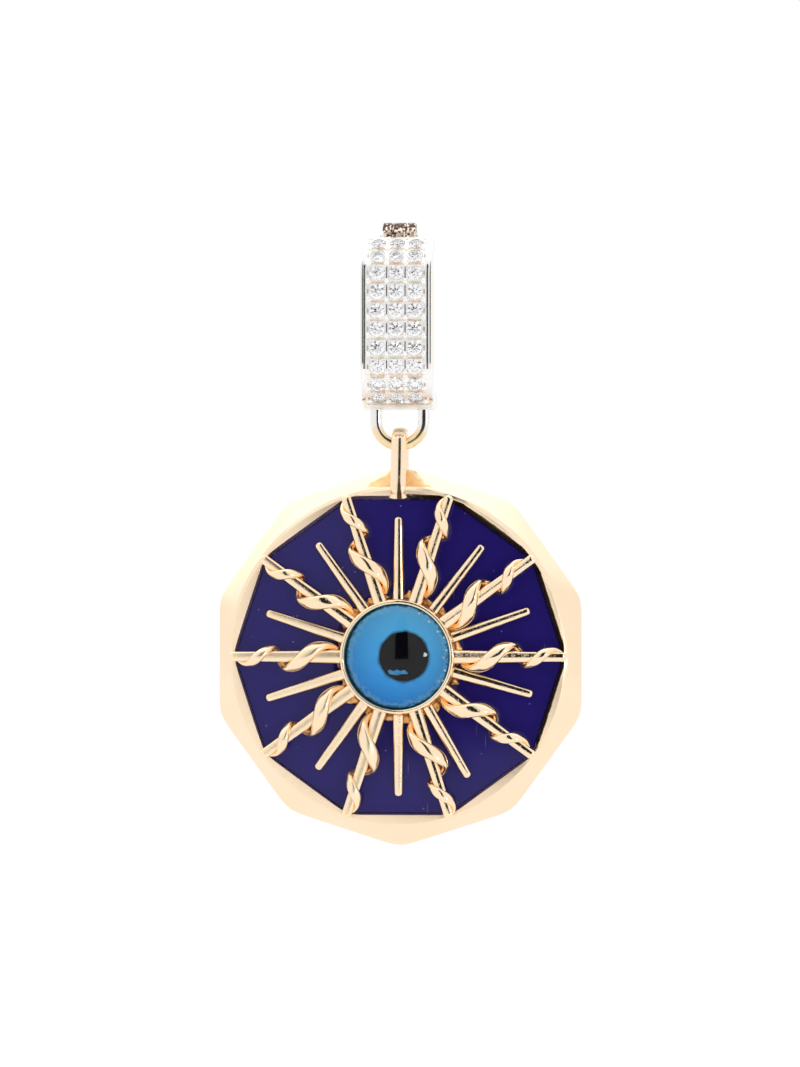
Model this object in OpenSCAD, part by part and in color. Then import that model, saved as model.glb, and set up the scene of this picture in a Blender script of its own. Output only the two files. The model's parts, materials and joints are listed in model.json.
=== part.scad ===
// Evil eye pendant on a hinged, paved bail. Millimetres, +Z up, front face towards -Y.
// The origin is the highest point inside the bail, where the chain rests under the hinge.

/* [Bail] */
// Height of the bail's oval, without the hinge barrel and the loop
bail_h = 11.7; // [10.5:0.1:16]
// Depth of the oval from its paved front to the back of the gate
bail_d = 6.4; // [6:0.1:8]
// Width of the paved front band
bail_w = 4.7; // [4.6:0.1:6]
// Thickness of the front band
band_t = 1.2; // [1.1:0.05:1.5]
// Width of the gate
gate_w = 4; // [3.2:0.1:4.6]
// Thickness of the gate
gate_t = 0.9; // [0.7:0.05:1.1]
// Angle past the bottom at which the band ends and the gate begins
split_angle = 32; // [25:1:50]

/* [Hinge] */
// Diameter of the hinge barrels
hinge_d = 2; // [1.7:0.05:2.3]
// Width of the middle barrel, which is part of the band
mid_barrel_w = 0.9; // [0.7:0.05:1.2]
// Width of each outer barrel, which is part of the gate
end_barrel_w = 0.6; // [0.45:0.05:0.8]
// Diameter of the hinge pin
pin_d = 0.7; // [0.5:0.05:1]

/* [Stones] */
// Diameter of each stone
stone_d = 1.04; // [0.9:0.02:1.1]
// Distance between neighbouring stones
stone_pitch = 1.24; // [1.2:0.01:1.3]
// Columns of stones across the band
stone_cols = 3; // [2:1:3]
// How far the stones run round each bend of the band, in degrees
pave_angle = 55; // [35:1:60]
// How far the rows are moved up from the middle of the band
pave_shift = 0.08; // [-0.2:0.01:0.2]
// Height of a stone above its girdle
crown_h = 0.17; // [0.12:0.01:0.22]
// Depth of a stone below its girdle
pavilion_h = 0.45; // [0.35:0.01:0.55]
// Depth of the girdle below the face of the band
girdle_sink = 0.05; // [0:0.01:0.12]
// Width of a stone's flat table, as a share of its diameter
table_share = 0.56; // [0.5:0.01:0.65]
// Width of the plain rail at each side of the band
rail_w = 0.16; // [0.12:0.01:0.25]
// Width of the groove between rail and stones
groove_w = 0.16; // [0.1:0.01:0.2]
// Depth of that groove
groove_d = 0.5; // [0.3:0.05:0.8]
// Width of the line cut between two columns
line_w = 0.08; // [0.05:0.01:0.12]
// Depth of that line
line_d = 0.25; // [0.15:0.05:0.35]

/* [Loop under the bail] */
// Diameter of the loop's wire
loop_wire = 0.78; // [0.6:0.02:1]
// Distance between the middles of the loop's two legs
loop_w = 3.16; // [2.9:0.02:3.6]
// Drop from the bottom of the bail to the middle of the wire
loop_drop = 2.3; // [2.2:0.05:4]

/* [Ring on the case] */
// Width of the ring, seen from the front
ring_w = 1.05; // [0.8:0.05:1.3]
// Thickness of the ring
ring_t = 0.62; // [0.5:0.02:0.8]
// Height of the loop's wire above the top corner of the case
ring_rise = 1.35; // [1.1:0.05:2.5]

/* [Case] */
// Number of sides of the case, and of rays of each kind
sides = 10; // [8:2:12]
// Width of the case across two flats
case_w = 24.2; // [22:0.1:30]
// Width of the front bevel, seen from the front
slope_w = 0.75; // [0.5:0.05:1.2]
// Width of the flat top of the rim
rim_w = 0.25; // [0.2:0.05:0.5]
// Width of the sloping wall inside the rim
wall_w = 0.65; // [0.4:0.05:0.9]
// Thickness of the back under the inlay
back_t = 1.2; // [0.8:0.05:2]
// Height of the straight side
side_h = 0.5; // [0.3:0.05:0.8]
// Bevel of the back edge
back_bevel = 0.6; // [0.3:0.05:0.9]

/* [Inlay] */
// Thickness of the inlay
inlay_t = 0.8; // [0.5:0.05:1.2]
// How far the inlay lies below the rim
inlay_sink = 0.7; // [0.4:0.05:1.1]

/* [Eye] */
// Diameter of the eye glass
eye_d = 7.16; // [6:0.02:8]
// Thickness of the blue disc
iris_t = 0.4; // [0.3:0.05:0.5]
// Diameter of the black pupil
pupil_d = 3.26; // [2.5:0.02:4]
// Thickness of the pupil
pupil_t = 0.12; // [0.06:0.02:0.2]
// How far the pupil sits to the right of the middle
pupil_x = 0.35; // [0:0.05:0.5]
// Height of the straight edge of the glass
glass_edge = 1.3; // [1.1:0.05:1.8]
// Rise of the glass dome above that edge
dome_h = 1.25; // [0.8:0.05:2]

/* [Sunburst] */
// Wall of the eye cup
cup_wall = 0.19; // [0.15:0.01:0.3]
// Thickness of the cup's floor
cup_floor = 0.4; // [0.25:0.05:0.5]
// Width of the cup's lip, seen from the front
lip_w = 0.3; // [0.24:0.01:0.4]
// Height of the cup above the inlay
cup_rise = 1.7; // [1.65:0.05:2.2]
// Length of a plain ray
ray_l = 5.5; // [4:0.1:6.2]
// Width of a plain ray at the cup
ray_w = 0.64; // [0.5:0.02:0.8]
// Width of a plain ray at its tip
ray_tip_w = 0.42; // [0.3:0.02:0.6]
// Width of a wrapped bar at the cup
bar_w = 0.76; // [0.6:0.02:0.9]
// Width of a wrapped bar at its tip
bar_tip_w = 0.48; // [0.36:0.02:0.6]
// Height of a wrapped bar's middle above the inlay, at the cup
bar_lift = 0.78; // [0.7:0.02:0.9]
// How far a wrapped bar's tip reaches over the rim
bar_over = 0.15; // [0.05:0.01:0.2]
// Widest width of the wire wrapped round a bar
wrap_w = 0.74; // [0.5:0.02:0.8]
// Thickness of that wire
wrap_t = 0.32; // [0.24:0.02:0.36]
// How far the middle of the wire swings to each side of its bar
wrap_reach = 0.8; // [0.65:0.01:0.84]

/* [Fit] */
// Gap between pieces that are set into each other
seat_gap = 0.03; // [0.02:0.01:0.05]
// Gap between the pin and its bores, and between barrels
pin_gap = 0.04; // [0.03:0.01:0.06]
// Gap between the loop's wire and the ring that swings on it
swing_gap = 0.05; // [0.04:0.01:0.1]
// Gap between the ends of band and gate
split_gap = 0.08; // [0.05:0.01:0.15]
// How far the case's back lies behind the loop, so that the case hangs upright
hang_back = 1.08; // [0.9:0.01:1.3]

/* [Hidden] */
// Bail
bail_r = bail_d / 2;
straight = bail_h - bail_d;
top_z = band_t - bail_r;
low_z = top_z - straight;
mid_z = (top_z + low_z) / 2;
bottom_z = low_z - bail_r;
hinge_z = hinge_d / 2;
barrel_room = hinge_d / 2 + pin_gap;
barrels_w = mid_barrel_w + 2 * (pin_gap + end_barrel_w);
far = 40;

// Stones
pave_l = straight + 2 * bail_r * pave_angle * PI / 180;
stone_rows = floor(pave_l / stone_pitch) + 1;
girdle_h = 0.03;
star_share = 0.86;
star_rise = 0.45;
pave_w = bail_w - 2 * (rail_w + groove_w);

// Loop and ring
loop_r = loop_w / 2;
swing_z = bottom_z - loop_drop;
loop_inner = loop_r - loop_wire / 2;
loop_curve = loop_inner - sqrt(pow(loop_inner, 2) - pow(ring_w / 2, 2));
ring_in = loop_wire / 2 + loop_curve + swing_gap;
ring_out = ring_in + ring_t;

// Case, measured forwards from its back face
turn = 360 / sides;
half_turn = turn / 2;
case_r = case_w / 2 / cos(half_turn);
rim_r = case_w / 2 - slope_w - rim_w;
inlay_top = back_t + seat_gap + inlay_t;
rim_z = inlay_top + inlay_sink;
wall_foot_r = rim_r - wall_w - seat_gap;
inlay_r = wall_foot_r / cos(half_turn);
recess_r = inlay_r + seat_gap / cos(half_turn);
case_z = swing_z - ring_rise - case_r;
foot_sink = 0.12;
foot_z = case_z + rim_r - swing_z;
front_foot = rim_z - hang_back + ring_t - foot_sink;
back_foot = hang_back - foot_sink;

// Eye and cup
eye_r = eye_d / 2;
cup_r = eye_r + seat_gap + cup_wall;
cup_z = back_t + seat_gap;
iris_z = cup_z + cup_floor + seat_gap;
glass_z = iris_z + iris_t + seat_gap;
edge_z = glass_z + glass_edge;
dome_r = (pow(eye_r, 2) + pow(dome_h, 2)) / (2 * dome_h);
lip_r = cup_r - lip_w;
lip_z = edge_z + sqrt(pow(dome_r, 2) - pow(lip_r, 2)) - (dome_r - dome_h) + seat_gap;
cup_top = inlay_top + cup_rise;
lip_bevel = 0.08;
cup_sides = 56;

// Rays
root_in = cup_wall / 2;
bar_in = cup_r - root_in;
bar_end = rim_r + bar_over;
bar_z = inlay_top + bar_lift;
bar_tip_z = rim_z + seat_gap + bar_tip_w / 2;
wire_sides = 6;
wire_step = 24;
wire_bite = 0.07;
wire_near = 2;

// One row for each stage of the wire: share of the bar's length from the cup, turn round the bar
// in degrees from its front, share of the widest reach, share of the widest width
WRAP = [
    [0.07, -128, 0.72, 0.45],
    [0.19,  -78, 0.95, 0.90],
    [0.35,    0, 1.00, 1.00],
    [0.49,   76, 1.00, 0.90],
    [0.59,  165, 0.85, 0.66],
    [0.67,  270, 0.74, 0.66],
    [0.78,  360, 0.66, 0.74],
    [0.87,  434, 0.64, 0.66],
    [0.96,  500, 0.44, 0.45],
];
SHARE = [for (row = WRAP) [row[1], row[0]]];
REACH = [for (row = WRAP) [row[1], row[2]]];
WIDTH = [for (row = WRAP) [row[1], row[3]]];

// One row for each side of the case, counter-clockwise from the top: how far the plain ray at that
// corner leans from its even place, in degrees, and how far along its bar the wire of the next
// wrapped ray is slid, as a share of the bar's length
RAYS = [
    [ 0.0,  0.015],
    [-0.3, -0.010],
    [-0.2, -0.015],
    [-0.3,  0.000],
    [ 0.0,  0.000],
    [ 0.0,  0.035],
    [-5.7, -0.030],
    [ 2.3,  0.015],
    [ 1.4, -0.035],
    [-1.3,  0.025],
];

function two(n) = n < 10 ? str("0", n) : str(n);
function stone_name(row, col) = str("stone_", two(row), "_", col);
STONES = [for (row = [1:stone_rows]) for (col = [1:stone_cols]) stone_name(row, col)];
$fn = 64;

// Place along the face of the band, s upwards from the middle of its straight part
function bend(s) = abs(s) <= straight / 2 ? 0 : sign(s) * (abs(s) - straight / 2) / bail_r * 180 / PI;
function flat_s(s) = max(-straight / 2, min(straight / 2, s));
function row_s(row) = ((stone_rows + 1) / 2 - row) * stone_pitch + pave_shift;
function col_x(col) = (col - (stone_cols + 1) / 2) * stone_pitch;

module on_band(s, x) {
    a = bend(s);
    translate([x, -bail_r * cos(a), mid_z + flat_s(s) + bail_r * sin(a)])
        rotate([90 - a, 0, 0])
            children();
}

// Draws a side view, with y to the right and z up, and gives it a width along X
module across(w) {
    rotate([90, 0, 90])
        linear_extrude(w, center = true)
            children();
}

// Drawn from the front on the back of the case, and rising towards the front
module on_case() {
    translate([0, hang_back, case_z])
        rotate([90, 0, 0])
            children();
}

// Side view of the bail
module oval(r) {
    translate([0, top_z])
        circle(r);
    translate([0, low_z])
        circle(r);
    translate([-r, low_z])
        square([2 * r, straight]);
}

module oval_wall(t) {
    difference() {
        oval(bail_r);
        oval(bail_r - t);
    }
}

// Everything in front of the split, up to y at the top
module front_side(y) {
    polygon([
        [-far, far], [y, far], [y, low_z], [0, low_z],
        [far * sin(split_angle), low_z - far * cos(split_angle)],
        [-far, low_z - far * cos(split_angle)],
    ]);
}

module band_side(y) {
    intersection() {
        oval_wall(band_t);
        front_side(y);
    }
}

module gate_side(y) {
    difference() {
        oval_wall(gate_t);
        front_side(y);
        translate([0, low_z])
            rotate(split_angle - 90)
                translate([0, -1])
                    square([far, 1 + split_gap]);
    }
}

module barrel() {
    translate([0, hinge_z])
        circle(hinge_d / 2);
}

module pin_bore() {
    translate([0, 0, hinge_z])
        rotate([0, 90, 0])
            cylinder(h = far, d = pin_d + 2 * pin_gap, center = true);
}

module end_barrels() {
    for (side = [-1, 1])
        translate([side * (mid_barrel_w / 2 + pin_gap + end_barrel_w / 2), 0, 0])
            across(end_barrel_w)
                children();
}

// Round brilliant: eight-sided table, star and bezel facets, sixteen-sided girdle, pavilion
module brilliant() {
    hull() {
        rotate(360 / 16)
            cylinder(h = crown_h, d1 = 0, d2 = table_share * stone_d, $fn = 8);
        cylinder(h = star_rise * crown_h, d1 = 0, d2 = star_share * stone_d, $fn = 8);
        translate([0, 0, -girdle_h])
            cylinder(h = girdle_h, d = stone_d, $fn = 16);
        translate([0, 0, -girdle_h - pavilion_h])
            cylinder(h = pavilion_h, d1 = 0, d2 = stone_d, $fn = 8);
    }
}

module stone(row, col) {
    color("white")
        on_band(row_s(row), col_x(col))
            translate([0, 0, -girdle_sink])
                brilliant();
}

// Round seat with a cone below, clear of its stone all round
module stone_seat() {
    r = stone_d / 2 + seat_gap;
    rotate_extrude($fn = 32)
        polygon([
            [0, -girdle_sink - girdle_h - pavilion_h - seat_gap],
            [r, -girdle_sink - girdle_h - seat_gap],
            [r, 1],
            [0, 1],
        ]);
}

module stone_seats() {
    for (row = [1:stone_rows])
        for (col = [1:stone_cols])
            on_band(row_s(row), col_x(col))
                stone_seat();
}

// The straight grooves beside the stones and the fine lines between their columns
module band_grooves() {
    groove_l = straight + 2 * stone_pitch;
    for (side = [-1, 1])
        translate([side * (pave_w + groove_w) / 2, -bail_r, mid_z])
            cube([groove_w, 2 * groove_d, groove_l], center = true);
    for (col = [1:stone_cols - 1])
        translate([col_x(col + 0.5), -bail_r, mid_z])
            cube([line_w, 2 * line_d, groove_l], center = true);
}

module loop() {
    translate([0, 0, swing_z + loop_r])
        rotate([90, 180, 0])
            rotate_extrude(angle = 180)
                translate([loop_r, 0])
                    circle(d = loop_wire, $fn = 32);
    for (side = [-1, 1])
        translate([side * loop_r, 0, swing_z + loop_r])
            cylinder(h = loop_drop - loop_r + band_t / 2, d = loop_wire, $fn = 32);
}

module bail_front() {
    color("gainsboro") {
        difference() {
            union() {
                across(bail_w)
                    band_side(-barrel_room);
                across(mid_barrel_w) {
                    band_side(0);
                    barrel();
                }
            }
            pin_bore();
            stone_seats();
            band_grooves();
        }
        loop();
    }
}

module gate() {
    color("gold")
        difference() {
            union() {
                across(gate_w)
                    gate_side(barrel_room);
                end_barrels() {
                    gate_side(0);
                    barrel();
                }
            }
            pin_bore();
        }
}

module hinge_pin() {
    color("gold")
        translate([0, 0, hinge_z])
            rotate([0, 90, 0])
                cylinder(h = barrels_w, d = pin_d, center = true);
}

// Side view of the ring, measured from the middle of the loop's wire
module ring_side() {
    difference() {
        union() {
            circle(ring_out);
            polygon([
                [-ring_out, 0], [-front_foot, foot_z], [0, foot_z],
                [back_foot, foot_z], [back_foot, foot_z + rim_w + slope_w], [ring_out, 0],
            ]);
        }
        circle(ring_in);
        polygon([
            [-ring_in, 0], [ring_t - front_foot, foot_z - 1],
            [back_foot - ring_t, foot_z - 1], [ring_in, 0],
        ]);
    }
}

module case_block() {
    hull() {
        cylinder(h = back_bevel, r = case_r - back_bevel, $fn = sides);
        translate([0, 0, back_bevel])
            cylinder(h = side_h, r = case_r, $fn = sides);
        rotate(half_turn / 2)
            cylinder(h = rim_z, r = (rim_r + rim_w) / cos(half_turn / 2), $fn = 2 * sides);
    }
}

// Opens the case inside its rim, along a sloping wall
module rim_cut() {
    translate([0, 0, inlay_top])
        cylinder(h = inlay_sink, r1 = wall_foot_r, r2 = rim_r, $fn = 120);
    translate([0, 0, rim_z])
        cylinder(h = 1, r = rim_r, $fn = 120);
}

module case() {
    color("gold") {
        on_case()
            difference() {
                rotate(90)
                    case_block();
                translate([0, 0, back_t])
                    rotate(90 + half_turn)
                        cylinder(h = rim_z, r = recess_r, $fn = sides);
                rotate(half_turn)
                    rim_cut();
            }
        translate([0, 0, swing_z])
            across(ring_w)
                ring_side();
    }
}

module inlay() {
    color("midnightblue")
        on_case()
            translate([0, 0, back_t + seat_gap])
                difference() {
                    rotate(90 + half_turn)
                        cylinder(h = inlay_t, r = inlay_r, $fn = sides);
                    translate([0, 0, -1])
                        cylinder(h = inlay_t + 2, r = cup_r + seat_gap);
                }
}

module eye_iris() {
    color("steelblue")
        on_case()
            translate([0, 0, iris_z])
                difference() {
                    cylinder(h = iris_t, r = eye_r);
                    translate([pupil_x, 0, iris_t - pupil_t - seat_gap])
                        cylinder(h = 1, d = pupil_d + 2 * seat_gap);
                }
}

module eye_pupil() {
    color("black")
        on_case()
            translate([pupil_x, 0, iris_z + iris_t - pupil_t])
                cylinder(h = pupil_t, d = pupil_d);
}

module eye_glass() {
    color("lightblue", 0.4)
        on_case()
            translate([0, 0, glass_z])
                intersection() {
                    cylinder(h = glass_edge + dome_h, r = eye_r);
                    translate([0, 0, glass_edge + dome_h - dome_r])
                        rotate([90, 0, 0])
                            sphere(dome_r, $fn = 120);
                }
}

module cup() {
    rotate_extrude($fn = cup_sides)
        polygon([
            [0, cup_z], [cup_r, cup_z],
            [cup_r, cup_top - lip_bevel], [cup_r - lip_bevel, cup_top],
            [lip_r + lip_bevel, cup_top], [lip_r, cup_top - lip_bevel],
            [lip_r, lip_z], [cup_r - cup_wall, lip_z],
            [cup_r - cup_wall, cup_z + cup_floor], [0, cup_z + cup_floor],
        ]);
}

module tapered_rod(from, d1, to, d2) {
    hull() {
        translate(from)
            sphere(d = d1, $fn = 10);
        translate(to)
            sphere(d = d2, $fn = 10);
    }
}

module plain_ray() {
    low = inlay_top + seat_gap;
    tapered_rod(
        [cup_r - root_in, 0, low + ray_w / 2], ray_w,
        [cup_r + ray_l - ray_tip_w / 2, 0, low + ray_tip_w / 2], ray_tip_w
    );
}

function mix(a, b, share) = a + (b - a) * share;
function bar_at(share) = [mix(bar_in, bar_end - bar_tip_w / 2, share), 0, mix(bar_z, bar_tip_z, share)];

// Middle of the wire where it has turned by a: to the side by its reach, forwards to lie on the bar
function wire_at(a, slide) =
    let (
        share = lookup(a, SHARE) + slide,
        side = wrap_reach * lookup(a, REACH),
        ahead = mix(bar_w, bar_tip_w, share) / 2 + wrap_t / 2 - wire_bite
    )
    bar_at(share) + [0, side * sin(a), ahead * cos(a)];

function unit(v) = v / norm(v);

// One ring of points round the wire: flat side on the bar, narrower towards both ends
function wire_ring(a, slide) =
    let (
        along = unit(wire_at(a + wire_near, slide) - wire_at(a - wire_near, slide)),
        out = [0, sin(a), cos(a)],
        wide = unit(cross(along, out)),
        thick = cross(wide, along),
        half_w = wrap_w * lookup(a, WIDTH) / 2,
        half_t = min(wrap_t / 2, half_w)
    )
    [for (i = [0:wire_sides - 1])
        let (b = 360 * i / wire_sides)
        wire_at(a, slide) + wide * half_w * cos(b) + thick * half_t * sin(b)];

module wrap(slide) {
    first = WRAP[0][1];
    last = WRAP[len(WRAP) - 1][1];
    steps = ceil((last - first) / wire_step);
    n = wire_sides;
    rings = [for (k = [0:steps]) wire_ring(mix(first, last, k / steps), slide)];
    polyhedron(
        points = [for (ring = rings) each ring],
        faces = concat(
            [[for (i = [0:n - 1]) n - 1 - i]],
            [for (k = [0:steps - 1]) for (i = [0:n - 1])
                let (p = k * n + i, q = k * n + (i + 1) % n)
                [p, q, q + n, p + n]],
            [[for (i = [0:n - 1]) steps * n + i]]
        ),
        convexity = 4
    );
}

module wrapped_ray(slide) {
    tapered_rod(bar_at(0), bar_w, bar_at(1), bar_tip_w);
    wrap(slide);
}

module all_rays() {
    for (i = [0:sides - 1]) {
        ray = RAYS[i % len(RAYS)];
        rotate(90 + i * turn + ray[0])
            plain_ray();
        rotate(90 + i * turn + half_turn)
            wrapped_ray(ray[1]);
    }
}

// The rays end inside the cup's wall, so that its bore stays clear for the eye
module sunburst() {
    color("gold")
        on_case() {
            cup();
            difference() {
                all_rays();
                cylinder(h = far, r = cup_r - root_in, $fn = cup_sides);
            }
        }
}

case();
inlay();
sunburst();
eye_iris();
eye_pupil();
eye_glass();
bail_front();
gate();
hinge_pin();
for (row = [1:stone_rows])
    for (col = [1:stone_cols])
        stone(row, col);
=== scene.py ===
"""Looks of the evil eye pendant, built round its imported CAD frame.

Shapes are drawn in millimetres, in the frame of the bail or of the case, and put in place in metres.
Materials read their place on a piece in millimetres too.
"""
import json
import math

import bmesh
import bpy
import numpy as np
from mathutils import Matrix, Vector, noise


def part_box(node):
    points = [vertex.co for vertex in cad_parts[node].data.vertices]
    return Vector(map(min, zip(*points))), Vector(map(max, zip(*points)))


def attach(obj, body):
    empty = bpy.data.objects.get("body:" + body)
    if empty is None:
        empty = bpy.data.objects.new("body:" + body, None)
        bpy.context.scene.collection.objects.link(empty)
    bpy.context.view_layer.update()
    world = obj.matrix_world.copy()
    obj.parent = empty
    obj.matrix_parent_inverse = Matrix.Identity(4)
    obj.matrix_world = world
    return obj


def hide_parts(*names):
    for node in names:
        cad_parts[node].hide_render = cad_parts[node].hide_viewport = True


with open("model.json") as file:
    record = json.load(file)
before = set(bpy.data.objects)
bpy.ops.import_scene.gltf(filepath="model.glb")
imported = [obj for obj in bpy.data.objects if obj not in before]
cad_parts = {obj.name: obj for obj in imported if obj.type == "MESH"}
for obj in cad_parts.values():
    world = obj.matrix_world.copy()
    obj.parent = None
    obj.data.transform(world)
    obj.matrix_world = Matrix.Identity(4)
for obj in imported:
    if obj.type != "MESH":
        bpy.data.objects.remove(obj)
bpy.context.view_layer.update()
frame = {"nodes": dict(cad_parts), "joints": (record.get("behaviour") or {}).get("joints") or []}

MM = 0.001


def box_mm(node):
    """The lowest and highest corner of a node of the frame, in millimetres."""
    return [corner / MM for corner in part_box(node)]


# Places that the frame gives, in millimetres
case_low, case_high = box_mm("case")
inlay_low, inlay_high = box_mm("inlay")
glass_low, glass_high = box_mm("eye_glass")
pupil_low, pupil_high = box_mm("eye_pupil")
bail_low, bail_high = box_mm("bail_front")
gate_low, gate_high = box_mm("gate")
pivots = {joint["name"]: Vector(joint["pos_m"]) / MM for joint in frame["joints"]}
swing_z = pivots["medallion_swing"].z
hinge_z = pivots["gate_hinge"].z

# Case, measured forwards from its back face
SIDES = 10
BACK_BEVEL = 0.6
SIDE_TOP = 1.1
SLOPE_W = 0.75
RIM_W = 0.25
LEDGE_W = 0.17
WALL_W = 0.7
BACK_T = 1.2
SEAT_GAP = 0.03
ENAMEL_SAG = 0.1
turn = 2 * math.pi / SIDES
case_r = (case_high.x - case_low.x) / 2
case_z = case_low.z + case_r / math.cos(turn / 2)
inlay_t = inlay_high.y - inlay_low.y
inlay_top = BACK_T + SEAT_GAP + inlay_t
back_y = inlay_low.y + inlay_top
rim_z = inlay_top + 0.6
rim_r = case_r - SLOPE_W - RIM_W
wall_foot_r = rim_r - WALL_W + SEAT_GAP

# Eye and cup
CUP_WALL = 0.19
CUP_FLOOR_T = 0.4
LIP_W = 0.3
LIP_T = 0.22
CUP_RISE = 1.7
DOME_H = 1.25
eye_r = glass_high.x
pupil_x = (pupil_low.x + pupil_high.x) / 2
pupil_r = (pupil_high.x - pupil_low.x) / 2
cup_r = eye_r + SEAT_GAP + CUP_WALL
cup_top = inlay_top + CUP_RISE
glass_top = back_y - glass_low.y
glass_foot = back_y - glass_high.y
pupil_top = back_y - pupil_low.y

# Rays and bars, wider and flatter than their round solids, and the wire, which is a little fuller
RAY_L = 5.5
RAY_W = 0.74
RAY_TIP_W = 0.5
RAY_LIFT = 0.36
BAR_W = 0.86
BAR_TIP_W = 0.6
BAR_LIFT = 0.78
BAR_OVER = 0.15
BAR_WIDER, BAR_FLATTER = 1.07, 0.76
WRAP_W = 0.82
WRAP_T = 0.5
WRAP_REACH = 0.8
WRAP_SINK = 0.07
WRAP_FULLER = 1.08
COLLAR_W = 0.42
COLLAR_H = 0.7

# Bail
BAND_T = 1.2
GATE_T = 0.9
STRAIGHT = 5.3
SPLIT_ANGLE = math.radians(32)
SPLIT_GAP = 0.025
HINGE_R = 1.0
MID_BARREL_W = 0.9
END_BARREL_W = 0.6
PIN_GAP = 0.04
LOOP_WIRE = 0.78
LOOP_W = 3.16
LOOP_TIP = 0.035
RING_GAP = 0.17
RING_W = 1.05
RING_T = 0.62
bail_r = gate_high.y
bail_w = bail_high.x - bail_low.x
top_z = BAND_T - bail_r
low_z = top_z - STRAIGHT
mid_z = (top_z + low_z) / 2
bottom_z = low_z - bail_r

PLACE_BAIL = Matrix.Scale(MM, 4)
PLACE_CASE = (
    PLACE_BAIL @ Matrix.Translation((0, back_y, case_z)) @ Matrix.Rotation(math.pi / 2, 4, "X")
)


def linear(hex_colour):
    """An sRGB colour such as "f2d6a4" as linear RGBA."""
    parts = (int(hex_colour[i:i + 2], 16) / 255 for i in (0, 2, 4))
    return [c / 12.92 if c <= 0.04045 else ((c + 0.055) / 1.055) ** 2.4 for c in parts] + [1.0]


def add(tree, kind, inputs=(), **settings):
    """Adds a node with its settings and links. A kind that doesn't say Node is a shader node's. Inputs are
    named, or listed in the order of those in use. Each is a value, a socket, or a node, whose first output in
    use is linked."""
    node = tree.nodes.new(kind if "Node" in kind else "ShaderNode" + kind)
    for name, value in settings.items():
        setattr(node, name, value)
    if not isinstance(inputs, dict):
        inputs = dict(zip((i for i, socket in enumerate(node.inputs) if socket.enabled), inputs))
    for key, value in inputs.items():
        if isinstance(value, bpy.types.Node):
            value = next(socket for socket in value.outputs if socket.enabled)
        if isinstance(value, bpy.types.NodeSocket):
            tree.links.new(value, node.inputs[key])
        else:
            node.inputs[key].default_value = value
    return node


def mix(a, b, share):
    return a + (b - a) * share


# Geometry trees
def new_tree(name, sizes):
    """A tree with a geometry input and output, and a named input for each size: (kind, default)."""
    tree = bpy.data.node_groups.new(name, "GeometryNodeTree")
    tree.interface.new_socket("Geometry", in_out="INPUT", socket_type="NodeSocketGeometry")
    for size, (kind, default) in sizes.items():
        socket = tree.interface.new_socket(size, in_out="INPUT", socket_type="NodeSocket" + kind)
        if default is not None:
            socket.default_value = default
    tree.interface.new_socket("Geometry", in_out="OUTPUT", socket_type="NodeSocketGeometry")
    return tree, tree.nodes.new("NodeGroupInput").outputs


def end_tree(tree, geometry, given):
    """Every tree ends here: one plain mesh, smooth, in its material."""
    real = add(tree, "GeometryNodeRealizeInstances", {"Geometry": geometry})
    smooth = add(tree, "GeometryNodeSetShadeSmooth", {"Geometry": real})
    painted = add(tree, "GeometryNodeSetMaterial", {"Geometry": smooth, "Material": given["Material"]})
    add(tree, "NodeGroupOutput", {"Geometry": painted})
    return tree


def soft_polygon_tree():
    """How much further out than its flats a polygon with rounded corners reaches at an angle."""
    tree = bpy.data.node_groups.new("Soft polygon", "GeometryNodeTree")
    for name in ("Angle", "Step", "Sharpness"):
        tree.interface.new_socket(name, in_out="INPUT", socket_type="NodeSocketFloat")
    tree.interface.new_socket("Reach", in_out="OUTPUT", socket_type="NodeSocketFloat")
    given = tree.nodes.new("NodeGroupInput").outputs
    half = add(tree, "Math", [given["Step"], 0.5], operation="MULTIPLY")
    low = add(tree, "Math", [half, -1.0], operation="MULTIPLY")
    across = add(tree, "Math", [given["Angle"], half, low], operation="WRAP")
    total = 0.0
    for side in (-1.0, 0.0, 1.0):
        from_side = add(tree, "Math", [given["Step"], side, across], operation="MULTIPLY_ADD")
        cosine = add(tree, "Math", [from_side], operation="COSINE")
        power = add(tree, "Math", [cosine, given["Sharpness"]], operation="POWER")
        total = add(tree, "Math", [power, total], operation="ADD")
    root = add(tree, "Math", [-1.0, given["Sharpness"]], operation="DIVIDE")
    reach = add(tree, "Math", [total, root], operation="POWER")
    add(tree, "NodeGroupOutput", {"Reach": reach})
    return tree


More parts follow.
